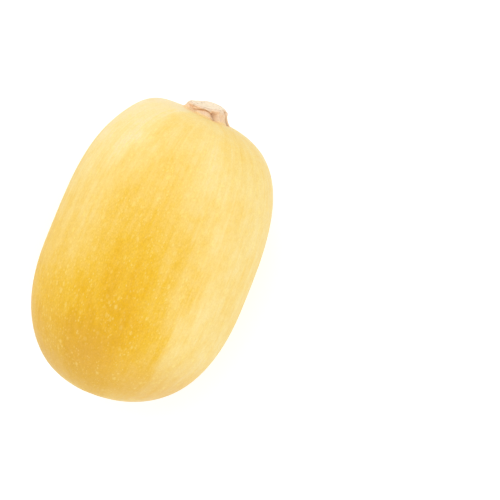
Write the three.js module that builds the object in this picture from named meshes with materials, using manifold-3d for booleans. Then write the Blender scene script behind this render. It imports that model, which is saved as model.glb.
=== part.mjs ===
/**
 * A spaghetti squash, picked and lying on its side.
 *
 * Units are millimetres and +Z is up. The long axis runs along Y, with the stem
 * end toward +Y. The origin is on the resting surface, under the middle of the
 * squash's bounding box.
 *
 *   fruit  the whole squash: a full, slightly bent barrel with ten faint ribs,
 *          one heavier shoulder by the stem and a small flat where it rests
 *   stem   the dry, corky stub of the vine that stays on the fruit: a lobed foot
 *          that hugs the rind, a crevice, and a blunt cap with the cut face
 */
import * as THREE from "three";
import { mergeVertices } from "three/addons/utils/BufferGeometryUtils.js";
import Module from "manifold-3d";

// The fruit's profile: two half barrels that meet at the widest section.
// A fullness of 2 would be an ellipse; larger values give squarer shoulders.
const FRUIT_RADIUS = 68;
const BLOSSOM_HALF = 88; // widest section to the blossom end
const STEM_HALF = 107; // widest section to the stem seat
const BLOSSOM_FULLNESS = 2.4;
const STEM_FULLNESS = 3.0;
const BEND = 2.0; // how far both ends drift toward +X

// Growth marks that leave the round: ribs, one shoulder and soft swellings.
const RIB_COUNT = 10;
const RIB_HEIGHT = 0.3;
const SHOULDER_RISE = 2.4;
const SHOULDER_LATITUDE = 59; // degrees from the widest section
const SHOULDER_LONGITUDE = -90; // degrees from the top, so on the -X side
const SHOULDER_SPREAD = [10, 42]; // degrees along and around the fruit
const SWELL_HEIGHT = 0.5;
const SCAR_RADIUS = 6; // the blossom scar, a shallow dish at the -Y pole
const SCAR_DEPTH = 0.8;
const BELLY_FLAT_DEPTH = 0.7; // height of the sliver lost to the resting flat

// The stem, measured along its own axis from the rind. Its lobes are knuckles
// of the foot, each given as [degrees around the axis, height].
const STEM_HEIGHT = 6.8; // at the middle of the cut
const STEM_WAIST_RADIUS = 10.4;
const STEM_FOOT_RADIUS = 14.6;
const STEM_FLARE = 2.1; // height over which the foot draws in to the waist
const STEM_LOBES = [[6, 2.3], [64, 1.4], [120, 1.7], [186, 2.1], [264, 1.6], [320, 2.1]];
const STEM_LOBE_WIDTH = 22; // degrees
const STEM_CAP_LIP = 1.3; // how far the cap stands out over the crevice
const STEM_CREVICE_DEPTH = 1.1; // the crevice under the cap arches over each lobe
const STEM_CREVICE_SHARE = 0.16; // its height between the lobes
const STEM_CREVICE_ARCH = 0.3; // how much higher it runs for each millimetre of lobe
const STEM_EDGE_ROUND = 0.5; // worn edge of the cut face
const STEM_FACE_DISH = 0.5; // the pith has dried below the rim
const STEM_CUT_SLANT = [0.16, 0.13]; // rise of the cut along its local X and Y
const STEM_LEAN = -1.4; // sideways drift of the cut toward -X
const STEM_OFFSET = -3.2; // where the foot stands, from the pole of the fruit
const STEM_ROOT_SHARE = -0.6; // how far the blank reaches below the rind before it is cut
const SEAT_GAP = 0.3; // air between the stem and the rind

// Mesh fineness
const FRUIT_RINGS = 40;
const FRUIT_SPOKES = 80;
const STEM_RINGS = 12;
const STEM_SPOKES = 56;
const FACE_RINGS = 3;

const { degToRad, euclideanModulo } = THREE.MathUtils;

/** A smooth bump: 1 at zero, fading over about one spread to either side. */
const bump = (distance, spread) => Math.exp(-((distance / spread) ** 2));

/** The signed angle in degrees from b to a, between -180 and 180. */
const angleBetween = (a, b) => euclideanModulo(a - b + 180, 360) - 180;

/**
 * A point on the rind. Latitude runs from -90 at the blossom end to 90 at the
 * stem; longitude is 0 on top and 90 on the +X side. The origin is the middle
 * of the widest section, and clearance grows the whole fruit evenly.
 */
function rindPoint(latitude, longitude, clearance = 0) {
  const lat = degToRad(latitude);
  const lon = degToRad(longitude);
  const towardStem = latitude > 0;
  const half = towardStem ? STEM_HALF : BLOSSOM_HALF;
  const fullness = towardStem ? STEM_FULLNESS : BLOSSOM_FULLNESS;
  const u = Math.sin(lat);
  const v = Math.cos(lat);
  const barrel = (Math.abs(u) ** fullness + Math.abs(v) ** fullness) ** (-1 / fullness);
  const reach = barrel * u; // -1 at the blossom end, 1 at the stem seat

  const ribs = RIB_HEIGHT * Math.cos(RIB_COUNT * lon + 0.9 * reach);
  const swelling = SWELL_HEIGHT * (Math.cos(2 * lon + 0.8) + Math.cos(3 * lon - 5 * reach + 1.9)) / 2;
  const shoulder = SHOULDER_RISE
    * bump(latitude - SHOULDER_LATITUDE, SHOULDER_SPREAD[0])
    * bump(angleBetween(longitude, SHOULDER_LONGITUDE), SHOULDER_SPREAD[1]);

  let along = (half + clearance) * reach + shoulder * u;
  const out = (FRUIT_RADIUS + clearance + ribs + swelling) * barrel * v + shoulder * v;
  if (!towardStem) along += SCAR_DEPTH * bump(out, SCAR_RADIUS);

  // The sections stay square to a centreline that bends more and more
  // toward the ends.
  const drift = BEND * Math.abs(reach) ** 3;
  const slope = Math.atan((3 * BEND * reach * Math.abs(reach)) / half);
  const side = out * Math.sin(lon);
  return new THREE.Vector3(
    drift + side * Math.cos(slope),
    along - side * Math.sin(slope),
    out * Math.cos(lon),
  );
}

/** How far the stem's lobes stand out at an angle around its axis. */
function lobeHeight(angle) {
  const heights = STEM_LOBES.map(
    ([centre, height]) => height * bump(angleBetween(angle, centre), STEM_LOBE_WIDTH),
  );
  return Math.max(...heights);
}

/**
 * A point on the stem, at a share of its height (0 at the rind, 1 at the cut)
 * and an angle in degrees. Inward is 1 on the side and 0 on the axis.
 */
function stemPoint(share, angle, inward = 1) {
  const above = Math.max(share, 0);
  const foot = Math.exp((-above * STEM_HEIGHT) / STEM_FLARE);
  const lobe = lobeHeight(angle);
  const creviceShare = STEM_CREVICE_SHARE + STEM_CREVICE_ARCH * lobe;
  const crevice = STEM_CREVICE_DEPTH * bump(share - creviceShare, 0.13);
  const cap = STEM_CAP_LIP * bump(share - 0.8, 0.25);
  const wornEdge = STEM_EDGE_ROUND * Math.max(0, share - 0.86) / 0.14;
  const radius = STEM_WAIST_RADIUS + (STEM_FOOT_RADIUS - STEM_WAIST_RADIUS) * foot
    + lobe * (1 - 0.75 * above ** 2) + cap - crevice - wornEdge;
  const x = inward * radius * Math.cos(degToRad(angle));
  const y = inward * radius * Math.sin(degToRad(angle));
  const slant = above * (STEM_CUT_SLANT[0] * x + STEM_CUT_SLANT[1] * y);
  const dish = STEM_FACE_DISH * (1 - inward ** 2);
  return new THREE.Vector3(x + above * STEM_LEAN, y, share * STEM_HEIGHT + slant - dish);
}

/**
 * A closed body from rings of points between two end points. Rings are listed
 * from the first end to the last and turn anticlockwise seen from the last.
 */
function closedBody(firstEnd, rings, lastEnd) {
  const spokes = rings[0].length;
  const points = [firstEnd, ...rings.flat(), lastEnd];
  const last = points.length - 1;
  const at = (ring, spoke) => 1 + ring * spokes + (spoke % spokes);
  const faces = [];
  for (let spoke = 0; spoke < spokes; spoke += 1) {
    faces.push(0, at(0, spoke + 1), at(0, spoke));
    for (let ring = 0; ring < rings.length - 1; ring += 1) {
      faces.push(at(ring, spoke), at(ring, spoke + 1), at(ring + 1, spoke + 1));
      faces.push(at(ring, spoke), at(ring + 1, spoke + 1), at(ring + 1, spoke));
    }
    faces.push(last, at(rings.length - 1, spoke), at(rings.length - 1, spoke + 1));
  }
  const geometry = new THREE.BufferGeometry().setFromPoints(points);
  geometry.setIndex(faces);
  return geometry;
}

/** The whole fruit before its resting flat, grown by a clearance. */
function fruitGeometry(clearance = 0) {
  const rings = [];
  for (let ring = 1; ring < FRUIT_RINGS; ring += 1) {
    const latitude = -90 + (180 * ring) / FRUIT_RINGS;
    const points = [];
    for (let spoke = 0; spoke < FRUIT_SPOKES; spoke += 1) {
      points.push(rindPoint(latitude, (360 * spoke) / FRUIT_SPOKES, clearance));
    }
    rings.push(points);
  }
  return closedBody(rindPoint(-90, 0, clearance), rings, rindPoint(90, 0, clearance));
}

/** The stem on its own axis, reaching below the rind until it is cut to fit. */
function stemGeometry() {
  const ringAt = (share, inward = 1) => Array.from(
    { length: STEM_SPOKES },
    (_, spoke) => stemPoint(share, (360 * spoke) / STEM_SPOKES, inward),
  );
  const rings = [ringAt(STEM_ROOT_SHARE)];
  for (let ring = 0; ring <= STEM_RINGS; ring += 1) rings.push(ringAt(ring / STEM_RINGS));
  for (let ring = 1; ring < FACE_RINGS; ring += 1) rings.push(ringAt(1, 1 - ring / FACE_RINGS));
  const root = new THREE.Vector3(0, 0, STEM_ROOT_SHARE * STEM_HEIGHT);
  return closedBody(root, rings, stemPoint(1, 0, 0));
}

const wasm = await Module();
wasm.setup();

/** A manifold solid from a closed geometry. */
function toSolid(geometry) {
  const bare = geometry.clone();
  bare.deleteAttribute("normal");
  bare.deleteAttribute("uv");
  const merged = mergeVertices(bare, 1e-4);
  return new wasm.Manifold(new wasm.Mesh({
    numProp: 3,
    vertProperties: new Float32Array(merged.attributes.position.array),
    triVerts: new Uint32Array(merged.index.array),
  }));
}

/** A geometry from a manifold solid. */
function toGeometry(solid) {
  const mesh = solid.getMesh();
  const geometry = new THREE.BufferGeometry();
  geometry.setAttribute("position", new THREE.BufferAttribute(mesh.vertProperties, 3));
  geometry.setIndex(new THREE.BufferAttribute(mesh.triVerts, 1));
  geometry.computeVertexNormals();
  return geometry;
}

/** A block that fills the space below a height, wide enough for the fruit. */
function groundBelow(height) {
  const span = 4 * FRUIT_RADIUS;
  return new THREE.BoxGeometry(span, span, span).translate(0, 0, height - span / 2);
}

const squash = new THREE.Group();

// Fruit: its frame's origin is the middle of the widest section.
const wholeFruit = fruitGeometry();
wholeFruit.computeBoundingBox();
const restHeight = wholeFruit.boundingBox.min.z + BELLY_FLAT_DEPTH;
const fruit = new THREE.Mesh(
  toGeometry(toSolid(wholeFruit).subtract(toSolid(groundBelow(restHeight)))),
  new THREE.MeshStandardMaterial({ color: 0xf3c23c, roughness: 0.42, metalness: 0 }),
);
fruit.name = "fruit";
squash.add(fruit);

// Stem: its own axis is local +Z, turned here to the fruit's +Y, so local +Y
// points down. Its foot is cut to follow the rind.
const seat = new THREE.Group();
seat.position.copy(rindPoint(90, 0));
seat.position.x += STEM_OFFSET;
seat.rotation.x = -Math.PI / 2;
seat.updateMatrix();
const rindAtSeat = fruitGeometry(SEAT_GAP).applyMatrix4(seat.matrix.clone().invert());
const stem = new THREE.Mesh(
  toGeometry(toSolid(stemGeometry()).subtract(toSolid(rindAtSeat))),
  new THREE.MeshStandardMaterial({ color: 0xdcb487, roughness: 0.85, metalness: 0 }),
);
stem.name = "stem";
seat.add(stem);
squash.add(seat);

// Set the squash down: the flat at z = 0 and the box centred on the origin.
const extent = new THREE.Box3().setFromObject(squash, true);
const middle = extent.getCenter(new THREE.Vector3());
squash.position.set(-middle.x, -middle.y, -extent.min.z);

export default squash;
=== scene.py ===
"""A spaghetti squash lying on its side: the finished look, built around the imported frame.

The rind and the stem repeat the formulas of the CAD source with a finer mesh and add the
small relief of a real fruit. Shape constants are in millimetres and degrees; a mesh is
turned into metres when it is made. Latitude runs from -90 at the blossom end to 90 at the
stem end, and longitude is 0 on top and 90 on the +X side.
"""
import math

import bpy
from mathutils import Matrix, Vector, noise


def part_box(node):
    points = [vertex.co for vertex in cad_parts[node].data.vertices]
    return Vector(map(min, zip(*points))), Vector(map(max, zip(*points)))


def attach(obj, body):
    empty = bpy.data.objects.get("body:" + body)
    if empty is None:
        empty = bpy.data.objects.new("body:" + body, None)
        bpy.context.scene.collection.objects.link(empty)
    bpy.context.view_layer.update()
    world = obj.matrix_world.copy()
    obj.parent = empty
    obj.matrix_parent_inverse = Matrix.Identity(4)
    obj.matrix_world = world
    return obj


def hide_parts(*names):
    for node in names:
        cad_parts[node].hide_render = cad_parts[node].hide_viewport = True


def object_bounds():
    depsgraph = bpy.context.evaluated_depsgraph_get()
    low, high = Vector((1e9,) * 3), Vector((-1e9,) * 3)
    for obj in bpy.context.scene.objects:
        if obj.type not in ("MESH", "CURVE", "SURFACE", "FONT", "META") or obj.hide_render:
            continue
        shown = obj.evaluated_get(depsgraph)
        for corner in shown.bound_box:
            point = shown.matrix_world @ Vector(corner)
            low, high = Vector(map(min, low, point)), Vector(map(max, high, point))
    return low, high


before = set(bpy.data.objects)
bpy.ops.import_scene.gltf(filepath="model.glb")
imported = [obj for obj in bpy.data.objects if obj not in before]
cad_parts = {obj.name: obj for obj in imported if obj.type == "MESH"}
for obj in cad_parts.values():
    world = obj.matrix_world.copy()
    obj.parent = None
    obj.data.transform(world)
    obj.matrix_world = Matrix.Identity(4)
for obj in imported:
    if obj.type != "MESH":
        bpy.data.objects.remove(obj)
cad_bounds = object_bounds()
cad_centre = (cad_bounds[0] + cad_bounds[1]) / 2

MM = 0.001

# --- The fruit's shape, as in the CAD source -------------------------------------------
FRUIT_RADIUS = 68.0
BLOSSOM_HALF = 88.0
STEM_HALF = 107.0
BLOSSOM_FULLNESS = 2.4
STEM_FULLNESS = 3.0
BEND = 2.0
RIB_COUNT = 10
RIB_HEIGHT = 0.3
RIB_TWIST = 0.9  # radians of phase from the middle to an end
SHOULDER_RISE = 2.4
SHOULDER_LATITUDE = 59.0
SHOULDER_LONGITUDE = -90.0
SHOULDER_SPREAD = (10.0, 42.0)
SWELL_HEIGHT = 0.5
SWELL_PHASES = (0.8, 1.9)  # radians, of the two-sided and the three-sided swelling
SWELL_TWIST = 5.0  # radians of phase from the middle to an end, for the three-sided one
SCAR_RADIUS = 6.0
SCAR_DEPTH = 0.8

# Small relief that only the finished rind has
PUCKER_DEPTH = 0.5  # folds that run on from the stem's lobes over the stem end
PUCKER_START = 14.0  # distance from the stem's axis
PUCKER_FADE = 12.0
STRIA_COUNT = 66  # fine grooves that run from pole to pole
STRIA_DEPTH = 0.05  # near the poles
STRIA_MIDDLE_SHARE = 0.35  # how much of that depth they have around the middle
STRIA_DEEPENING = (0.55, 0.95)  # the reach over which they deepen
STRIA_START = (4.0, 14.0)  # distance from the fruit's axis over which they fade in
STRIA_WANDER = 11.0  # radians
GROWTH_NOISE = (2.0, 1.3)  # scale around the fruit and along it
PEEL_DEPTH = 0.14  # soft unevenness of the whole rind
PEEL_SIZE = 11.0
PEEL_STRETCH = 0.45
SCAR_RING_RISE = 0.4
SCAR_RING_SHARE = 0.7  # the ring's radius, as a share of the scar's
SCAR_RING_WIDTH = 1.1
SCAR_NUB_RISE = 0.8
SCAR_NUB_WIDTH = 1.3
SCAR_CRACKS = 9
SCAR_CRACK_DEPTH = 0.45
SCAR_CRACK_SHARPNESS = 3
SCAR_CRACK_SPREAD = 3.0
SCAR_CRACK_WANDER = 13.2  # radians

# --- The stem's shape, as in the CAD source --------------------------------------------
STEM_HEIGHT = 6.8
STEM_WAIST_RADIUS = 10.4
STEM_FOOT_RADIUS = 14.6
STEM_FLARE = 2.1
STEM_LOBES = ((6.0, 2.3), (64.0, 1.4), (120.0, 1.7), (186.0, 2.1), (264.0, 1.6), (320.0, 2.1))
STEM_LOBE_WIDTH = 22.0
STEM_LOBE_LOSS = 0.75  # how much of its height a lobe has lost at the cut
STEM_CAP_LIP = 1.3
STEM_CAP_BAND = (0.8, 0.25)  # the lip's middle and spread, as shares of the height
STEM_EDGE_ROUND = 0.5
STEM_FACE_DISH = 0.5
STEM_CUT_SLANT = (0.16, 0.13)
STEM_LEAN = -1.4
STEM_OFFSET = -3.2

# The finished foot isn't cut to the rind. It ends below it, by a share of the stem's height
STEM_ROOT_SHARE = -0.2

# The cut's edge is worn from this share of the height up, a little lower than in the CAD
EDGE_ROUND_START = 0.8

# Relief of the finished stem. The CAD stem has none but a plainer crevice
CREVICE_DEPTH = 1.3  # under the cap, where it runs deepest
CREVICE_SHARE = 0.12  # its height between the lobes
CREVICE_ARCH = 0.33  # how much higher it runs for each millimetre of lobe
CREVICE_SPREAD = 0.11
CREVICE_WANDER = 0.05
LOBE_WANDER = 7.0  # degrees
LOBE_NOISE = (1.6, 1.4)  # scale around the stem and along it
# Where the foot meets the cap with no crevice, as an angle and a width in degrees
BUTTRESSES = ((186.0, 24.0), (330.0, 30.0))
BUTTRESS_FILL = 1.2
BUTTRESS_BAND = (0.4, 0.25)  # the middle and spread of the fill, as shares of the height
CREASE_DEPTH = 1.2  # clefts between the lobes
CREASE_SHARE = 0.26  # their width, as a share of the angle between two lobes
CREASE_FADE = 0.4  # the share of the height over which a cleft runs out
CREASE_FOOT_FILL = 0.5  # how much of its depth a cleft loses at the foot
# How far up each cleft runs and how deep it is, from the one after the first lobe on
CREASES = ((0.8, 0.8), (0.6, 0.9), (0.75, 0.7), (0.4, 0.5), (0.85, 0.8), (1.1, 1.0))
CORNER_HEIGHT = 0.9  # uneven outline of the cap
CORNER_NOISE = 1.7
CORNER_START = (0.4, 0.9)  # the share of the height over which it comes in
TOE_LENGTH = 1.2  # uneven edge of the foot
TOE_NOISE = 4
FIBRE_COUNT = 58  # fine upright ridges around the cap
FIBRE_DEPTH = 0.1
FIBRE_START = (0.35, 0.6)
FIBRE_WANDER = 3  # radians
FIBRE_WANDER_LENGTH = 4
KNOB_SIZE = 3.0  # corky lumps
KNOB_DEPTH = 0.7
KNOB_LEVEL = 0.35  # the noise value that leaves the surface where it is
KNOB_END = (0.5, 0.9)  # the share of the height over which they flatten
KNOB_CAP_SHARE = 0.4  # how much of their depth is left on the cap
CREVICE_SHADE = 0.7  # how much painted shade the crevice gets, where the deepest cleft gets 1
PIT_SHADE = 0.5  # the same painted shade for the pits between the corky lumps
CUT_WAVE = 0.7  # unevenness of the whole cut
CUT_WAVE_LENGTH = 7.0
CUT_WAVE_LEVEL = 0.4
SEAT_FADE = 0.6  # the share of the height up to which the stem follows the rind
BUNDLE_COUNT = 10  # sap vessels that show on the cut face
BUNDLE_RING = 0.62  # shares of the way from the middle to the rim
BUNDLE_RADIUS = 0.6
BUNDLE_DEPTH = 0.3
BUNDLE_SCATTER = (9, 0.05, 0.3)  # unevenness in degrees, ring and share of the radius
PITH_SHARE = 0.26
PITH_DEPTH = 0.35
SAW_DEPTH = 0.04  # faint marks of the blade that cut it
SAW_PITCH = 1.3
SAW_SLANT = 0.4
SAW_WANDER = 1.5
SAW_WANDER_LENGTH = 5
ROUGH_DEPTH = 0.3  # the broken fibres of the cut
ROUGH_SIZE = 1.8
CUT_RIM_SHARE = 0.08  # the smooth rim of the cut

# Places in the stem's UV map, and the margin that every map keeps
MAP_EDGE = 0.01
SIDE_MAP_BOTTOMS = (0.55, 0.78)
SIDE_MAP_HEIGHT = 0.2
CUT_MAP_CENTRE = (0.25, 0.26)
CUT_MAP_RADIUS = 0.24
UNDERSIDE_MAP_CENTRE = (0.75, 0.26)
UNDERSIDE_MAP_RADIUS = 0.2

# Mesh fineness
CAD_RINGS = 40
CAD_SPOKES = 80
FRUIT_RINGS = 260
FRUIT_SPOKES = 352
STEM_SIDE_RINGS = 72
STEM_FACE_RINGS = 40
STEM_SPOKES = 288

# --- Light and camera, in metres ---------------------------------------------------------
WORLD_LIGHT = 0.67
FLOOR_SIZE = 8.0
FLOOR_LIFT = (0.28, 0.4)  # near the squash and far from it
FLOOR_LIFT_REACH = (0.3, 1.5)
CAMERA_AZIMUTH = 22.4  # degrees
CAMERA_ELEVATION = 97.0
CAMERA_LENS = 133.0
CAMERA_DISTANCE = 1.2
CAMERA_AIM_OFFSET = (0.0577, 0.0229, -0.001)
LAMP_DISTANCE = 1.3
LAMP_SIZE = (1.2, 0.9)
# Each lamp's name, azimuth from +X and elevation in degrees, and radiance
LAMPS = (
    ("right_box", 0.0, 24.0, 1.3),
    ("back_left_box", 150.0, 24.0, 0.85),
    ("front_box", 270.0, 24.0, 0.8),
    ("high_box", 120.0, 58.0, 1.4),
)


def bump(distance, spread):
    """A smooth bump: 1 at zero, fading over about one spread to either side."""
    return math.exp(-((distance / spread) ** 2))


def ramp(value, low, high, start=0.0, end=1.0):
    """Goes smoothly from start to end as value goes from low to high, and is level beyond."""
    t = min(max((value - low) / (high - low), 0.0), 1.0)
    return start + (end - start) * t * t * (3 - 2 * t)


def angle_between(a, b):
    """The signed angle in degrees from b to a, between -180 and 180."""
    return (a - b + 180) % 360 - 180


def lobe_height(angle):
    """How far the stem's lobes stand out at an angle around its axis."""
    return max(
        height * bump(angle_between(angle, centre), STEM_LOBE_WIDTH)
        for centre, height in STEM_LOBES
    )


def cleft(angle, share):
    """Up to 1 in the middle of each cleft between two lobes of the stem, 0 away from them."""
    centres = [centre for centre, _ in STEM_LOBES]
    following = centres[1:] + [centres[0] + 360]
    deepest = 0.0
    for before, after, (top, strength) in zip(centres, following, CREASES):
        beside = angle_between(angle, (before + after) / 2)
        across = bump(beside, CREASE_SHARE * (after - before))
        deepest = max(deepest, strength * across * ramp(top - share, 0.0, CREASE_FADE))
    return deepest


# --- The rind ---------------------------------------------------------------------------
def rind_relief(reach, longitude, out):
    """Height of the small relief on the rind, above 0 only on the scar's ring and nub."""
    lon = math.radians(longitude)
    around = Vector((math.cos(lon), math.sin(lon), 0.0))
    place = Vector((around.x * out, reach * PEEL_STRETCH * STEM_HALF, around.y * out))
    peel = PEEL_DEPTH * (noise.noise(place / PEEL_SIZE) - 1) / 2

    scale_around, scale_along = GROWTH_NOISE
    wander = noise.noise(Vector((
        around.x * scale_around,
        around.y * scale_around,
        scale_along * reach,
    )))
    strength = ramp(abs(reach), *STRIA_DEEPENING, STRIA_MIDDLE_SHARE, 1.0)
    strength *= ramp(out, *STRIA_START)
    groove = (math.sin(STRIA_COUNT * lon + STRIA_WANDER * wander) - 1) / 2
    stria = STRIA_DEPTH * strength * groove

    if reach > 0:
        up, side = out * around.x, out * around.y - STEM_OFFSET
        angle = math.degrees(math.atan2(-up, side))
        fold = 1 - lobe_height(angle) / max(height for _, height in STEM_LOBES)
        fade = bump(max(math.hypot(up, side) - PUCKER_START, 0.0), PUCKER_FADE)
        return peel + stria - PUCKER_DEPTH * fold * fade
    cracks = (1 + math.cos(SCAR_CRACKS * lon + SCAR_CRACK_WANDER * wander)) / 2
    cracks = cracks**SCAR_CRACK_SHARPNESS * bump(out - SCAR_RADIUS, SCAR_CRACK_SPREAD)
    ring = SCAR_RING_RISE * bump(out - SCAR_RING_SHARE * SCAR_RADIUS, SCAR_RING_WIDTH)
    nub = SCAR_NUB_RISE * bump(out, SCAR_NUB_WIDTH)
    return peel + stria + ring + nub - SCAR_CRACK_DEPTH * cracks


def rind_point(latitude, longitude, relief=True):
    """A point on the rind, from the middle of the widest section, with its growth and spot.

    Growth is the direction around the fruit and the reach, from -1 at the blossom end to 1
    at the stem seat. Spot is the place on the unbent fruit. Without the small relief this
    is the CAD model's own rind.
    """
    lat, lon = math.radians(latitude), math.radians(longitude)
    toward_stem = latitude > 0
    half = STEM_HALF if toward_stem else BLOSSOM_HALF
    fullness = STEM_FULLNESS if toward_stem else BLOSSOM_FULLNESS
    u, v = math.sin(lat), math.cos(lat)
    barrel = (abs(u) ** fullness + abs(v) ** fullness) ** (-1 / fullness)
    reach = barrel * u

    ribs = RIB_HEIGHT * math.cos(RIB_COUNT * lon + RIB_TWIST * reach)
    two_sided = math.cos(2 * lon + SWELL_PHASES[0])
    three_sided = math.cos(3 * lon - SWELL_TWIST * reach + SWELL_PHASES[1])
    swelling = SWELL_HEIGHT * (two_sided + three_sided) / 2
    shoulder = (
        SHOULDER_RISE
        * bump(latitude - SHOULDER_LATITUDE, SHOULDER_SPREAD[0])
        * bump(angle_between(longitude, SHOULDER_LONGITUDE), SHOULDER_SPREAD[1])
    )
    along = half * reach + shoulder * u
    out = (FRUIT_RADIUS + ribs + swelling) * barrel * v + shoulder * v
    if not toward_stem:
        along += SCAR_DEPTH * bump(out, SCAR_RADIUS)
    if relief:
        rise = rind_relief(reach, longitude, out)
        along += rise * u
        out += rise * v

    drift = BEND * abs(reach) ** 3
    slope = math.atan(3 * BEND * reach * abs(reach) / half)
    side = out * math.sin(lon)
    place = Vector((
        drift + side * math.cos(slope),
        along - side * math.sin(slope),
        out * math.cos(lon),
    ))
    growth = (math.cos(lon), math.sin(lon), reach)
    return place, growth, (out * growth[0], out * growth[1], along)


# --- The stem ---------------------------------------------------------------------------
def rind_drop(x, y):
    """Height of the rind beside the pole, from the pole, in the stem's own frame."""
    pole_x = x + STEM_OFFSET
    out = math.hypot(pole_x, y)
    flat_end = STEM_HALF * ((1 - (out / FRUIT_RADIUS) ** STEM_FULLNESS) ** (1 / STEM_FULLNESS) - 1)
    return flat_end - pole_x * 3 * BEND / STEM_HALF


def stem_point(share, angle, inward=1.0):
    """A point on the stem with how much painted shade its crease, crevice or pit gets, 0 to 1."""
    turn = math.radians(angle)
    around = Vector((math.cos(turn), math.sin(turn), 0.0))
    above = max(share, 0.0)
    foot = math.exp(-above * STEM_HEIGHT / STEM_FLARE)
    scale_around, scale_along = LOBE_NOISE
    wander = noise.noise(Vector((
        scale_around * around.x,
        scale_around * around.y,
        scale_along * share,
    )))
    lobe = lobe_height(angle + LOBE_WANDER * wander)
    buttress = max(bump(angle_between(angle, middle), width) for middle, width in BUTTRESSES)
    crevice_share = CREVICE_SHARE + CREVICE_ARCH * lobe + CREVICE_WANDER * wander
    arch = bump(share - crevice_share, CREVICE_SPREAD) * (1 - buttress)
    cap_middle, cap_spread = STEM_CAP_BAND
    cap = STEM_CAP_LIP * bump(share - cap_middle, cap_spread)
    worn = STEM_EDGE_ROUND * ramp(share, EDGE_ROUND_START, 1.0)

    radius = STEM_WAIST_RADIUS + (STEM_FOOT_RADIUS - STEM_WAIST_RADIUS) * foot
    radius += lobe * (1 - STEM_LOBE_LOSS * above**2) + cap - CREVICE_DEPTH * arch - worn
    fill_middle, fill_spread = BUTTRESS_BAND
    radius += BUTTRESS_FILL * buttress * bump(share - fill_middle, fill_spread)
    crease = cleft(angle + LOBE_WANDER * wander, share)
    radius -= CREASE_DEPTH * crease * (1 - CREASE_FOOT_FILL * foot)
    radius += CORNER_HEIGHT * noise.noise(CORNER_NOISE * around) * ramp(share, *CORNER_START)
    radius += TOE_LENGTH * foot * noise.noise(TOE_NOISE * around)

    place = Vector((around.x * radius, around.y * radius, share * STEM_HEIGHT))
    knobs = noise.fractal(place / KNOB_SIZE, 1.0, 2.1, 3)
    radius += KNOB_DEPTH * (knobs - KNOB_LEVEL) * ramp(share, *KNOB_END, 1.0, KNOB_CAP_SHARE)
    wave = FIBRE_WANDER * noise.noise(place / FIBRE_WANDER_LENGTH)
    radius += FIBRE_DEPTH * math.sin(FIBRE_COUNT * turn + wave) * ramp(share, *FIBRE_START)

    x, y = inward * radius * around.x, inward * radius * around.y
    slant = above * (STEM_CUT_SLANT[0] * x + STEM_CUT_SLANT[1] * y)
    unevenness = noise.noise(Vector((x, y, 0)) / CUT_WAVE_LENGTH) - CUT_WAVE_LEVEL
    height = share * STEM_HEIGHT + slant + above**3 * CUT_WAVE * unevenness
    height += ramp(share, 0.0, SEAT_FADE, 1.0, 0.0) * rind_drop(x, y)
    # Painted shade in the crevice under the cap, the clefts between the lobes and the pits between
    # the lumps.
    depth = max(CREVICE_SHADE * arch, crease) + PIT_SHADE * max(-knobs, 0.0)
    return Vector((x + above * STEM_LEAN, y, height)), min(depth, 1.0)


def vessel_mark(angle, inward):
    """Up to 1 in the middle of each sap vessel of the cut face, 0 away from them.

    The vessels stand in a ring. Sines of the vessel's number scatter them a little.
    """
    turn_scatter, ring_scatter, size_scatter = BUNDLE_SCATTER
    mark = 0.0
    for number in range(BUNDLE_COUNT):
        middle = number * 360 / BUNDLE_COUNT + turn_scatter * math.sin(2.7 * number)
        ring = BUNDLE_RING + ring_scatter * math.cos(4.1 * number)
        turned = math.radians(angle_between(angle, middle))
        distance = STEM_WAIST_RADIUS * math.hypot(
            inward * math.cos(turned) - ring, inward * math.sin(turned)
        )
        size = BUNDLE_RADIUS * (1 + size_scatter * math.sin(5.3 * number))
        mark = max(mark, bump(distance, size))
    return mark


def cut_face_point(angle, inward):
    """A point on the cut face with how strongly a sap vessel marks it, from 0 to 1."""
    place, _ = stem_point(1.0, angle, inward)
    vessel = vessel_mark(angle, inward)
    across_saw = place.x + SAW_SLANT * place.y
    across_saw += SAW_WANDER * noise.noise(place / SAW_WANDER_LENGTH)
    relief = SAW_DEPTH * math.sin(2 * math.pi * across_saw / SAW_PITCH)
    relief += ROUGH_DEPTH * noise.fractal(place / ROUGH_SIZE, 0.8, 2.0, 3)
    relief -= BUNDLE_DEPTH * vessel + PITH_DEPTH * bump(inward, PITH_SHARE)
    dish = STEM_FACE_DISH * (1 - inward**2)
    place.z += ramp(1 - inward, 0.0, CUT_RIM_SHARE) * relief - dish
    return place, vessel


# --- Making meshes ----------------------------------------------------------------------
def closed_mesh(name, first_end, rings, last_end, map_place):
    """A closed, smooth piece from rings of points between two end points.

    Ring 0 is the first end and the last ring the last end. map_place gives the place of a
    ring and spoke in the UV map; it is also told which face asks, by that face's own first
    ring and spoke, and spokes count on past a full turn.
    """
    spokes = len(rings[0])
    points = [first_end] + [point for ring in rings for point in ring] + [last_end]

    def index(ring, spoke):
        if ring == 0:
            return 0
        if ring > len(rings):
            return len(points) - 1
        return 1 + (ring - 1) * spokes + spoke % spokes

    faces, places = [], []
    for ring in range(len(rings) + 1):
        for spoke in range(spokes):
            corners = [(ring, spoke), (ring, spoke + 1), (ring + 1, spoke + 1), (ring + 1, spoke)]
            if ring == 0:
                corners = [(0, spoke + 0.5), (1, spoke + 1), (1, spoke)]
            elif ring == len(rings):
                corners = [(ring, spoke), (ring, spoke + 1), (ring + 1, spoke + 0.5)]
            faces.append([index(*corner) for corner in corners])
            places += [map_place(*corner, ring, spoke) for corner in corners]

    mesh = bpy.data.meshes.new(name)
    mesh.from_pydata([point * MM for point in points], [], faces)
    mesh.polygons.foreach_set("use_smooth", [True] * len(faces))
    layer = mesh.uv_layers.new(name="OFBake")
    layer.data.foreach_set("uv", [number for place in places for number in place])
    piece = bpy.data.objects.new(name, mesh)
    bpy.context.scene.collection.objects.link(piece)
    return piece


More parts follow.
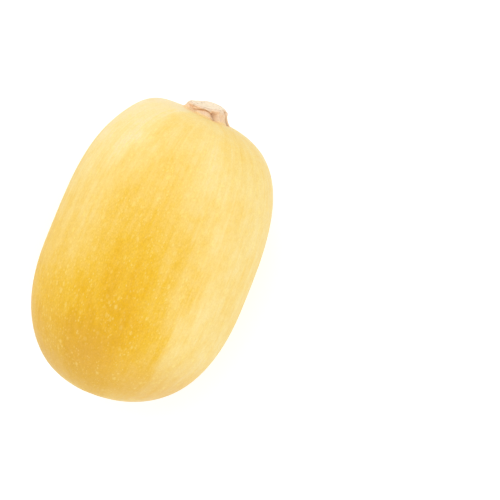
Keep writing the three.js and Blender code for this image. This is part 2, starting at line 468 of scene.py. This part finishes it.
def store_vectors(piece, name, vectors):
    """Keeps a vector for each vertex, for the piece's material to read."""
    attribute = piece.data.attributes.new(name, "FLOAT_VECTOR", "POINT")
    attribute.data.foreach_set("vector", [number for vector in vectors for number in vector])


def fruit_shift():
    """How far the rind's own origin lies from the frame's, by the CAD fruit's box."""
    low, high = (Vector(corner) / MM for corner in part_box("fruit"))
    cad_rind = [
        rind_point(-90 + 180 * ring / CAD_RINGS, 360 * spoke / CAD_SPOKES, relief=False)[0]
        for ring in range(CAD_RINGS + 1)
        for spoke in range(CAD_SPOKES)
    ]
    return Vector((
        low.x - min(point.x for point in cad_rind),
        low.y - min(point.y for point in cad_rind),
        high.z - max(point.z for point in cad_rind),
    ))


def make_fruit(shift):
    """The whole fruit, with the flat that it rests on at the ground."""
    def place_in_map(ring, spoke, *_):
        inner = 1 - 2 * MAP_EDGE
        return MAP_EDGE + inner * spoke / FRUIT_SPOKES, MAP_EDGE + inner * ring / FRUIT_RINGS

    made = [rind_point(-90, 0)]
    for ring in range(1, FRUIT_RINGS):
        latitude = -90 + 180 * ring / FRUIT_RINGS
        made += [
            rind_point(latitude, 360 * spoke / FRUIT_SPOKES) for spoke in range(FRUIT_SPOKES)
        ]
    made.append(rind_point(90, 0))
    points = [place + shift for place, _, _ in made]
    for point in points:
        point.z = max(point.z, 0.0)
    rings = [points[i:i + FRUIT_SPOKES] for i in range(1, len(points) - 1, FRUIT_SPOKES)]
    fruit = closed_mesh("squash_fruit", points[0], rings, points[-1], place_in_map)
    store_vectors(fruit, "growth", [growth for _, growth, _ in made])
    store_vectors(fruit, "spot", [spot for _, _, spot in made])
    return fruit


def stem_map(last_side):
    """Gives places in the stem's UV map, where last_side is the ring at the top of the side.

    The side lies in two strips, one for each half turn, and the cut and the underside are
    discs beside each other.
    """
    def on_disc(middle, radius, spoke):
        turn = 2 * math.pi * spoke / STEM_SPOKES
        return middle[0] + radius * math.cos(turn), middle[1] + radius * math.sin(turn)

    def place_in_map(ring, spoke, face_ring, face_spoke):
        if face_ring == 0:
            return on_disc(UNDERSIDE_MAP_CENTRE, UNDERSIDE_MAP_RADIUS * ring, spoke)
        if face_ring >= last_side:
            inward = 1 - (ring - last_side) / STEM_FACE_RINGS
            return on_disc(CUT_MAP_CENTRE, CUT_MAP_RADIUS * inward, spoke)
        half = STEM_SPOKES // 2
        around = (spoke - half * (face_spoke // half)) / half
        bottom = SIDE_MAP_BOTTOMS[face_spoke // half]
        return (
            MAP_EDGE + (1 - 2 * MAP_EDGE) * around,
            bottom + SIDE_MAP_HEIGHT * (ring - 1) / (last_side - 1),
        )

    return place_in_map


def make_stem(shift):
    """The stem on its seat. Its own Z points to the fruit's +Y, and its own Y down."""
    seat = rind_point(90, 0, relief=False)[0] + shift + Vector((STEM_OFFSET, 0, 0))

    def seated(place):
        return seat + Vector((place.x, place.z, -place.y))

    side_shares = [STEM_ROOT_SHARE]
    side_shares += [ring / STEM_SIDE_RINGS for ring in range(STEM_SIDE_RINGS + 1)]
    face_shares = [1 - ring / STEM_FACE_RINGS for ring in range(1, STEM_FACE_RINGS)]
    angles = [360 * spoke / STEM_SPOKES for spoke in range(STEM_SPOKES)]

    rings = []
    cork = [(0, 0, 0)]
    for share in side_shares:
        made = [stem_point(share, angle) for angle in angles]
        rings.append([seated(place) for place, _ in made])
        cork += [(depth, max(share, 0.0), 0.0) for _, depth in made]
    for inward in face_shares:
        made = [cut_face_point(angle, inward) for angle in angles]
        rings.append([seated(place) for place, _ in made])
        cork += [(mark, 1.0, 1 - inward) for _, mark in made]
    cork.append((0, 1, 1))
    root = seated(Vector((0, 0, STEM_ROOT_SHARE * STEM_HEIGHT)))
    tip = seated(cut_face_point(0, 0)[0])
    stem = closed_mesh("stem_stub", root, rings, tip, stem_map(len(side_shares)))
    store_vectors(stem, "cork", cork)
    return stem


# --- Colours ----------------------------------------------------------------------------
def colour(red, green, blue):
    """A shader colour from display values of 0 to 255."""
    shares = [value / 255 for value in (red, green, blue)]
    return [s / 12.92 if s <= 0.04045 else ((s + 0.055) / 1.055) ** 2.4 for s in shares] + [1]


RIND_COLOURS = (  # by paleness
    (0.0, colour(233, 177, 0)),
    (0.15, colour(241, 187, 18)),
    (0.3, colour(245, 197, 46)),
    (0.6, colour(248, 209, 99)),
    (0.9, colour(250, 225, 146)),
    (1.2, colour(250, 233, 190)),
)
# Soft patches of paler or deeper tone: middle and size by sideways and reach, and change.
# The first is partly deeper gold and partly painted shade low on the -X side; the fourth,
# on the +X side, is a painted reflection of a second squash beside it
RIND_TONE_AND_LIGHT_PATCHES = (
    ((-0.38, -0.62), (0.35, 0.35), -0.18),
    ((-0.58, 0.42), (0.3, 0.35), -0.12),
    ((-0.05, 0.87), (0.45, 0.2), 0.09),
    ((0.95, 0.4), (0.2, 0.5), -0.12),
    ((-0.56, 0.9), (0.22, 0.2), -0.14),
)
RIND_SHADE_PATCH = ((-0.35, -0.57), (0.4, 0.3), 0.3)  # painted shade, where the blossom end's tan reaches up the -X side
# The blossom end's tan: partly the rind's own colour and partly painted shade.
RIND_END_TAN_AND_SHADE = colour(228, 172, 46)
RIND_PORE = colour(208, 152, 26)
RIND_CHALK = colour(254, 222, 196)
RIND_FLECK = colour(255, 234, 140)
RIND_BLUSH = colour(248, 204, 144)
SCAR_HALO = colour(214, 170, 96)
SCAR_DARK = colour(140, 98, 58)
SCAR_LIGHT = colour(206, 164, 112)
FOOT_PINK = colour(243, 209, 176)
FOOT_TAN = colour(240, 211, 170)
FOOT_EDGE = colour(250, 216, 146)
CAP_TAN = colour(236, 208, 178)
CAP_PALE = colour(253, 226, 194)
CAP_GREY = colour(206, 182, 152)
# Painted shade for the creases, crevice and pits; the brown also marks the stem's own fibre lines
# and grit.
CREASE_SHADE_TAN = colour(227, 189, 148)
FIBRE_BROWN_AND_CREASE_SHADE = colour(186, 146, 112)
CUT_CREAM = colour(251, 233, 208)
CUT_GREEN = colour(244, 227, 196)
CUT_PITH = colour(228, 206, 166)
VESSEL_BROWN = colour(176, 136, 90)
FLOOR_COLOUR = colour(247, 247, 247)

# How far the tones of both ends reach, in millimetres from the stem's or the fruit's axis
BLUSH_REACH = (15.0, 21.0)
SCAR_HALO_REACH = (4.0, 13.0)
SCAR_CORK_REACH = (4.0, 6.6)
END_FRAY = 2.0

# Flecks, as the scale of the grid that they lie in, their radius in it and how many it keeps
LARGE_FLECKS = (1 / 3.6, 0.4, 0.7)
SMALL_FLECKS = (1 / 1.65, 0.43, 1.0)
FLECK_SHARE = 0.36


# --- Materials --------------------------------------------------------------------------
class Shading:
    """A material and short ways to add nodes to it. An input is a value or a node's output."""

    def __init__(self, name):
        self.material = bpy.data.materials.new(name)
        self.material.use_nodes = True
        self.tree = self.material.node_tree
        self.shader = self.tree.nodes["Principled BSDF"]

    def add(self, kind, inputs, **settings):
        """A new node, given its inputs by name or number."""
        node = self.tree.nodes.new("ShaderNode" + kind)
        for name, value in settings.items():
            setattr(node, name, value)
        self.feed(node, inputs)
        return node

    def feed(self, node, inputs):
        for name, value in inputs.items():
            if isinstance(value, bpy.types.NodeSocket):
                self.tree.links.new(value, node.inputs[name])
            else:
                node.inputs[name].default_value = value

    def math(self, operation, *values):
        node = self.add("Math", dict(enumerate(values)), operation=operation)
        return node.outputs[0]

    def stretch(self, vector, *factors):
        node = self.add("VectorMath", {0: vector, 1: factors}, operation="MULTIPLY")
        return node.outputs[0]

    def ramp(self, value, low, high, start=0.0, end=1.0):
        """Goes smoothly from start to end as value goes from low to high, and is level beyond."""
        inputs = {"Value": value, 1: low, 2: high, 3: start, 4: end}
        return self.add("MapRange", inputs, interpolation_type="SMOOTHSTEP").outputs[0]

    def noise(self, vector, scale, detail=2.0, roughness=0.5):
        inputs = {"Vector": vector, "Scale": scale, "Detail": detail, "Roughness": roughness}
        return self.add("TexNoise", inputs).outputs["Fac"]

    def mix(self, share, first, second):
        """A colour from first to second as share goes from 0 to 1."""
        inputs = {0: share, 6: first, 7: second}
        return self.add("Mix", inputs, data_type="RGBA").outputs[2]

    def colours(self, value, stops):
        """A colour by value, through stops of (value, colour) that start at 0."""
        top = stops[-1][0]
        node = self.add("ValToRGB", {"Fac": self.math("DIVIDE", value, top)})
        elements = node.color_ramp.elements
        while len(elements) < len(stops):
            elements.new(1.0)
        for element, (at, shade) in zip(elements, stops):
            element.position = at / top
            element.color = shade
        return node.outputs["Color"]

    def wobble(self, vector, scale, amount):
        """The vector, pushed about by noise."""
        noise_node = self.add("TexNoise", {"Vector": vector, "Scale": scale, "Detail": 1.0})
        centred = {0: noise_node.outputs["Color"], 1: (-0.5, -0.5, -0.5)}
        push = self.add("VectorMath", centred, operation="ADD").outputs[0]
        push = self.stretch(push, 2 * amount, 2 * amount, 2 * amount)
        return self.add("VectorMath", {0: vector, 1: push}, operation="ADD").outputs[0]

    def flecks(self, vector, scale, radius, keep):
        """Small round spots in some cells of a jittered grid, 1 in their middles.

        Radius is that of the largest spots, and keep sets how many of the cells hold one.
        """
        cells = self.add("TexVoronoi", {"Vector": vector, "Scale": scale})
        chance = self.add("SeparateColor", {0: cells.outputs["Color"]})
        size = self.ramp(chance.outputs[1], 0.0, 1.0, 0.55 * radius, radius)
        spot = self.math("SUBTRACT", 1.0, self.math("DIVIDE", cells.outputs["Distance"], size))
        shown = self.ramp(chance.outputs[0], keep, keep - 0.3)
        return self.math("MULTIPLY", self.ramp(spot, 0.0, 0.6), shown)

    def bump(self, height, depth, below=None):
        inputs = {"Height": height, "Strength": 1.0, "Distance": depth}
        if below is not None:
            inputs["Normal"] = below
        return self.add("Bump", inputs).outputs[0]


def soft_patch(look, growth, middle, size, peak):
    """Peak in the middle of a patch of the rind and 0 around it, by sideways and reach."""
    offset = look.add("VectorMath", {0: growth, 1: (0, *middle)}, operation="SUBTRACT").outputs[0]
    offset = look.stretch(offset, 0, 1 / size[0], 1 / size[1])
    distance = look.add("VectorMath", {0: offset}, operation="LENGTH").outputs["Value"]
    return look.ramp(distance, 0.0, 1.0, peak, 0.0)


def rind_tone_and_painted_light(look, growth, streaks, patterns):
    """How pale the rind is painted, from 0, deep gold, to 1.2, cream, with painted light in it.

    The deep gold lies in a broad stripe along the top that fades toward both ends. The paler
    stem end is partly the skin's own tone and partly painted light, the paler blossom end is
    a painted reflection on its rim, the paler left side is painted sheen, and the right side,
    at +X, is pale throughout as a painted reflection of a large soft lamp. Patterns are pairs
    of a noise and how far it swings the tone.
    """
    parts = look.add("SeparateXYZ", {0: growth})
    upward, sideways, reach = parts.outputs[0], parts.outputs[1], parts.outputs[2]
    wavy_side = look.math("ADD", sideways, look.ramp(streaks, 0.3, 0.7, -0.05, 0.05))

    # Paler stem end: partly the skin's own tone and partly painted light.
    stem_end_tone_and_light = look.ramp(reach, 0.4, 1.0, 0.0, 0.1)
    # Paler blossom end: painted reflection on its rim.
    blossom_end_reflection = look.ramp(reach, -1.0, -0.4, 0.5, 0.0)
    # Paler left flank and left edge: painted sheen.
    left_flank_sheen = look.ramp(sideways, -0.8, -0.15, 0.18, 0.0)
    left_edge_sheen = look.ramp(wavy_side, -0.62, -0.40, 0.14, 0.0)
    left_edge_sheen = look.math("MULTIPLY", left_edge_sheen, look.ramp(reach, -0.4, 0.2))
    # Pale right flank: painted reflection of a large soft lamp on the +X side.
    right_lamp_reflection = look.ramp(sideways, -0.08, 0.42, 0.0, 0.28)
    right_lamp_reflection = look.math("MULTIPLY", right_lamp_reflection, look.ramp(reach, 1.0, 0.65))
    ground_side = look.ramp(upward, -0.9, -0.2, 0.4, 0.0)

    # Paler toward the stem throughout: partly the skin's own tone and partly painted light falling
    # off toward the blossom end.
    paleness = look.math("MULTIPLY_ADD", reach, 0.42, 0.24)
    for zone in (stem_end_tone_and_light, blossom_end_reflection, left_flank_sheen, left_edge_sheen, right_lamp_reflection, ground_side):
        paleness = look.math("ADD", paleness, zone)
    for patch in RIND_TONE_AND_LIGHT_PATCHES:
        paleness = look.math("ADD", paleness, soft_patch(look, growth, *patch))
    # Pale band on the +X side: painted reflection of the same soft lamp.
    lamp_reflection_band = look.ramp(wavy_side, 0.16, 0.62, 0.0, 0.8)
    paleness = look.math("SMOOTH_MAX", paleness, lamp_reflection_band, 0.15)
    for pattern, swing in patterns:
        paleness = look.math("ADD", paleness, look.ramp(pattern, 0.25, 0.75, -swing, swing))
    return paleness


def rind_skin(look, growth, spot, reach, paleness, mottle):
    """The skin's colour by its paleness, darkened by pores and tanned at the blossom end,
    partly its own colour and partly painted shade.
    """
    skin = look.colours(paleness, RIND_COLOURS)
    # Tan toward the blossom end, partly the rind's own and partly painted shade; it eases at the
    # very rim, a painted reflection there, and a painted shade patch carries it up the -X side.
    tan_and_shade = look.ramp(reach, -0.8, -0.35, 0.56, 0.0)
    tan_and_shade = look.math("MULTIPLY", tan_and_shade, look.ramp(reach, -1.0, -0.8, 0.25, 1.0))
    tan_and_shade = look.math("ADD", tan_and_shade, soft_patch(look, growth, *RIND_SHADE_PATCH))
    skin = look.mix(tan_and_shade, skin, RIND_END_TAN_AND_SHADE)
    skin = look.mix(look.ramp(mottle, 0.3, 0.7, 0.0, 0.035), skin, RIND_CHALK)
    pores = look.noise(look.stretch(spot, 1, 1, 0.6), 1 / 0.75, 2.0)
    pore_share = look.ramp(paleness, 0.1, 0.8, 0.32, 0.15)
    pore_share = look.math("MULTIPLY", pore_share, look.ramp(pores, 0.3, 0.7))
    return look.mix(pore_share, skin, RIND_PORE)


def rind_flecks(look, spot, streaks):
    """Cream flecks, long the way the fruit grew and thicker in some rows than in others."""
    ragged_spot = look.wobble(look.stretch(spot, 1, 1, 0.6), 1 / 1.1, 0.5)
    large = look.flecks(ragged_spot, *LARGE_FLECKS)
    small = look.flecks(ragged_spot, *SMALL_FLECKS)
    rows = look.ramp(streaks, 0.35, 0.62, 0.35, 1.0)
    return look.math("MULTIPLY", look.math("MAXIMUM", large, small), rows)


def rind_ends(look, skin, spot, reach):
    """The skin, blushed around the stem and browned around the scar, and the scar's place."""
    flat_spot = look.stretch(spot, 1, 1, 0)
    out = look.add("VectorMath", {0: flat_spot}, operation="LENGTH").outputs["Value"]
    fray = look.ramp(look.noise(spot, 1 / 2.5, 3.0), 0.25, 0.75, -END_FRAY, END_FRAY)
    from_stem = {0: flat_spot, 1: (0, STEM_OFFSET, 0)}
    beside_stem = look.add("VectorMath", from_stem, operation="DISTANCE").outputs["Value"]
    beside_stem = look.math("ADD", beside_stem, fray)
    beside_scar = look.math("ADD", out, fray)
    to_stem = look.math("GREATER_THAN", reach, 0.0)
    to_scar = look.math("SUBTRACT", 1.0, to_stem)

    blush = look.math("MULTIPLY", look.ramp(beside_stem, *BLUSH_REACH, 0.75, 0.0), to_stem)
    skin = look.mix(blush, skin, RIND_BLUSH)
    halo = look.math("MULTIPLY", look.ramp(beside_scar, *SCAR_HALO_REACH, 0.55, 0.0), to_scar)
    skin = look.mix(halo, skin, SCAR_HALO)
    scar = look.math("MULTIPLY", look.ramp(beside_scar, *SCAR_CORK_REACH, 1.0, 0.0), to_scar)
    grain = look.math("ADD", look.noise(spot, 1 / 0.6, 3.0), look.ramp(out, 1.0, 4.5, 0.2, -0.1))
    cork = look.mix(look.ramp(grain, 0.35, 0.7), SCAR_DARK, SCAR_LIGHT)
    return look.mix(scar, skin, cork), scar


def rind_material():
    """Waxy golden rind: paler by the stem, partly its own tone and partly painted light,
    with a painted reflection of a soft lamp on the +X side, streaked and flecked.
    """
    look = Shading("rind")
    growth = look.add("Attribute", {}, attribute_name="growth").outputs["Vector"]
    spot = look.add("Attribute", {}, attribute_name="spot").outputs["Vector"]
    reach = look.add("SeparateXYZ", {0: growth}).outputs[2]

    clouds = look.noise(look.stretch(growth, 1, 1, 0.5), 2.2, 4.0, 0.55)
    streaks = look.noise(look.stretch(growth, 1, 1, 0.12), 9.0, 4.0, 0.6)
    threads = look.noise(look.stretch(growth, 1, 1, 0.06), 38.0, 3.0, 0.6)
    blotches = look.noise(look.stretch(spot, 1, 1, 0.6), 1 / 9.0, 2.0)
    mottle = look.noise(look.stretch(spot, 1, 1, 0.7), 1 / 3.2, 2.0)
    patterns = ((clouds, 0.1), (blotches, 0.07), (mottle, 0.03), (streaks, 0.06), (threads, 0.05))

    paleness = rind_tone_and_painted_light(look, growth, streaks, patterns)
    skin = rind_skin(look, growth, spot, reach, paleness, mottle)
    fleck = rind_flecks(look, spot, streaks)
    skin = look.mix(look.math("MULTIPLY", fleck, FLECK_SHARE), skin, RIND_FLECK)
    skin, scar = rind_ends(look, skin, spot, reach)

    rough = look.ramp(look.noise(spot, 1 / 3.0, 3.0), 0.3, 0.7, 0.36, 0.46)
    rough = look.math("ADD", rough, look.math("MULTIPLY", fleck, 0.12))
    rough = look.math("ADD", rough, look.math("MULTIPLY", scar, 0.35))
    peel = look.bump(look.noise(spot, 1 / 1.1, 2.0), 0.12 * MM)
    look.feed(look.shader, {
        "Base Color": skin,
        "Roughness": rough,
        "Specular IOR Level": 0.35,
        "Normal": look.bump(threads, 0.07 * MM, peel),
    })
    return look.material


def stem_material():
    """Dry corky stub: light brown foot, painted shade in its creases,
    and a pale cut with dark sap vessels.
    """
    look = Shading("corky_stem")
    cork = look.add("Attribute", {}, attribute_name="cork").outputs["Vector"]
    parts = look.add("SeparateXYZ", {0: cork})
    # The first part is the painted shade on the side and the sap vessels on the cut.
    depth, height, inward = parts.outputs[0], parts.outputs[1], parts.outputs[2]
    place = look.add("TexCoord", {}).outputs["Object"]
    place = look.stretch(place, 1 / MM, 1 / MM, 1 / MM)

    blotches = look.noise(place, 1 / 3.0, 3.0)
    grit = look.noise(place, 1 / 0.7, 4.0, 0.6)
    fibres = look.noise(look.stretch(place, 1, 0.07, 1), 1 / 0.8, 3.0, 0.6)

    foot = look.mix(look.ramp(blotches, 0.35, 0.65), FOOT_PINK, FOOT_TAN)
    cap = look.mix(look.ramp(fibres, 0.3, 0.7), CAP_TAN, CAP_PALE)
    body = look.mix(look.ramp(height, 0.42, 0.66), foot, cap)
    stain = look.math("MULTIPLY", look.ramp(blotches, 0.5, 0.62), look.ramp(height, 0.5, 0.8))
    body = look.mix(look.math("MULTIPLY", stain, 0.5), body, CAP_GREY)
    ragged_height = look.math("ADD", height, look.ramp(grit, 0.3, 0.7, -0.08, 0.08))
    body = look.mix(look.ramp(ragged_height, 0.0, 0.2, 0.85, 0.0), body, FOOT_EDGE)
    lines = look.ramp(fibres, 0.5, 0.66, 0.0, 0.4)
    body = look.mix(lines, body, FIBRE_BROWN_AND_CREASE_SHADE)
    body = look.mix(look.ramp(grit, 0.62, 0.8, 0.0, 0.4), body, FIBRE_BROWN_AND_CREASE_SHADE)
    # Painted shade in the creases, the crevice and the pits, tan and then brown where deepest.
    body = look.mix(look.ramp(depth, 0.15, 0.6, 0.0, 0.9), body, CREASE_SHADE_TAN)
    body = look.mix(look.ramp(depth, 0.55, 1.0, 0.0, 0.8), body, FIBRE_BROWN_AND_CREASE_SHADE)

    face = look.mix(look.ramp(grit, 0.3, 0.7), CUT_CREAM, CUT_GREEN)
    face = look.mix(look.ramp(inward, 0.75, 0.95, 0.0, 0.5), face, CUT_PITH)
    face = look.mix(look.ramp(blotches, 0.5, 0.7, 0.0, 0.35), face, CUT_PITH)
    face = look.mix(look.ramp(depth, 0.2, 0.9, 0.0, 0.7), face, VESSEL_BROWN)
    skin = look.mix(look.ramp(inward, 0.0, 0.05), body, face)

    rough = look.ramp(grit, 0.3, 0.7, 0.72, 0.9)
    lumps = look.bump(grit, 0.12 * MM)
    threads = look.bump(fibres, 0.1 * MM, lumps)
    look.feed(look.shader, {"Base Color": skin, "Roughness": rough, "Normal": threads})
    return look.material


# --- The studio -------------------------------------------------------------------------
def seen_directly(tree):
    """1 for what the camera sees, straight or in a reflection, and 0 for soft light."""
    path = tree.nodes.new("ShaderNodeLightPath")
    seen = path.outputs["Is Camera Ray"]
    for name in ("Is Glossy Ray", "Is Transmission Ray"):
        either = tree.nodes.new("ShaderNodeMath")
        either.operation = "MAXIMUM"
        tree.links.new(seen, either.inputs[0])
        tree.links.new(path.outputs[name], either.inputs[1])
        seen = either.outputs[0]
    return seen


def make_world():
    """Even studio light, and a white background for the camera and reflections."""
    world = bpy.data.worlds.new("studio")
    world.use_nodes = True
    tree = world.node_tree
    strength = tree.nodes.new("ShaderNodeMapRange")
    strength.inputs["To Min"].default_value = WORLD_LIGHT
    strength.inputs["To Max"].default_value = 1.0
    tree.links.new(seen_directly(tree), strength.inputs["Value"])
    background = tree.nodes["Background"]
    background.inputs["Color"].default_value = (1, 1, 1, 1)
    tree.links.new(strength.outputs[0], background.inputs["Strength"])
    bpy.context.scene.world = world


def make_floor():
    """A pale floor, lifted to white for the camera where no shadow falls on it."""
    mesh = bpy.data.meshes.new("floor")
    half = FLOOR_SIZE / 2
    corners = [(-half, -half, 0), (half, -half, 0), (half, half, 0), (-half, half, 0)]
    mesh.from_pydata(corners, [], [(0, 1, 2, 3)])
    floor = bpy.data.objects.new("floor", mesh)
    bpy.context.scene.collection.objects.link(floor)

    look = Shading("floor")
    path = look.add("LightPath", {})
    place = look.add("TexCoord", {}).outputs["Object"]
    away = look.add("VectorMath", {0: place}, operation="LENGTH").outputs["Value"]
    lift = look.ramp(away, *FLOOR_LIFT_REACH, *FLOOR_LIFT)
    lift = look.math("MULTIPLY", path.outputs["Is Camera Ray"], lift)
    look.feed(look.shader, {
        "Base Color": FLOOR_COLOUR,
        "Roughness": 0.9,
        "Specular IOR Level": 0.0,
        "Emission Color": (1, 1, 1, 1),
        "Emission Strength": lift,
    })
    mesh.materials.append(look.material)


def make_lamp(name, azimuth, elevation, radiance):
    """A soft, rectangular lamp that faces the squash. Radiance 1 is that of plain white."""
    light = bpy.data.lights.new(name, "AREA")
    light.shape = "RECTANGLE"
    light.size, light.size_y = LAMP_SIZE
    light.energy = radiance * math.pi * light.size * light.size_y
    lamp = bpy.data.objects.new(name, light)
    bpy.context.scene.collection.objects.link(lamp)
    flat, up = math.cos(math.radians(elevation)), math.sin(math.radians(elevation))
    turn = math.radians(azimuth)
    toward = Vector((flat * math.cos(turn), flat * math.sin(turn), up))
    lamp.location = cad_centre + toward * LAMP_DISTANCE
    lamp.rotation_euler = toward.to_track_quat("Z", "Y").to_euler()


def make_camera():
    """Looks down on the squash from a little past straight above, with the stem at the top."""
    azimuth, elevation = math.radians(CAMERA_AZIMUTH), math.radians(CAMERA_ELEVATION)
    back = Vector((
        math.sin(azimuth) * math.cos(elevation),
        -math.cos(azimuth) * math.cos(elevation),
        math.sin(elevation),
    ))
    up = Vector((
        -math.sin(azimuth) * math.sin(elevation),
        math.cos(azimuth) * math.sin(elevation),
        math.cos(elevation),
    ))
    camera = bpy.data.objects.new("camera", bpy.data.cameras.new("camera"))
    bpy.context.scene.collection.objects.link(camera)
    camera.data.lens = CAMERA_LENS
    place = cad_centre + Vector(CAMERA_AIM_OFFSET) + back * CAMERA_DISTANCE
    turn = Matrix((up.cross(back), up, back)).transposed()
    camera.matrix_world = Matrix.Translation(place) @ turn.to_4x4()
    bpy.context.scene.camera = camera


# --- The squash in its studio -------------------------------------------------------------
shift = fruit_shift()
fruit = make_fruit(shift)
stem = make_stem(shift)
fruit.data.materials.append(rind_material())
stem.data.materials.append(stem_material())
for piece, node, slot in ((fruit, "fruit", "rind"), (stem, "stem", "corky_stem")):
    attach(piece, "root")
    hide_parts(node)

make_world()
make_floor()
for lamp in LAMPS:
    make_lamp(*lamp)
make_camera()
bpy.context.scene.view_settings.view_transform = "Standard"
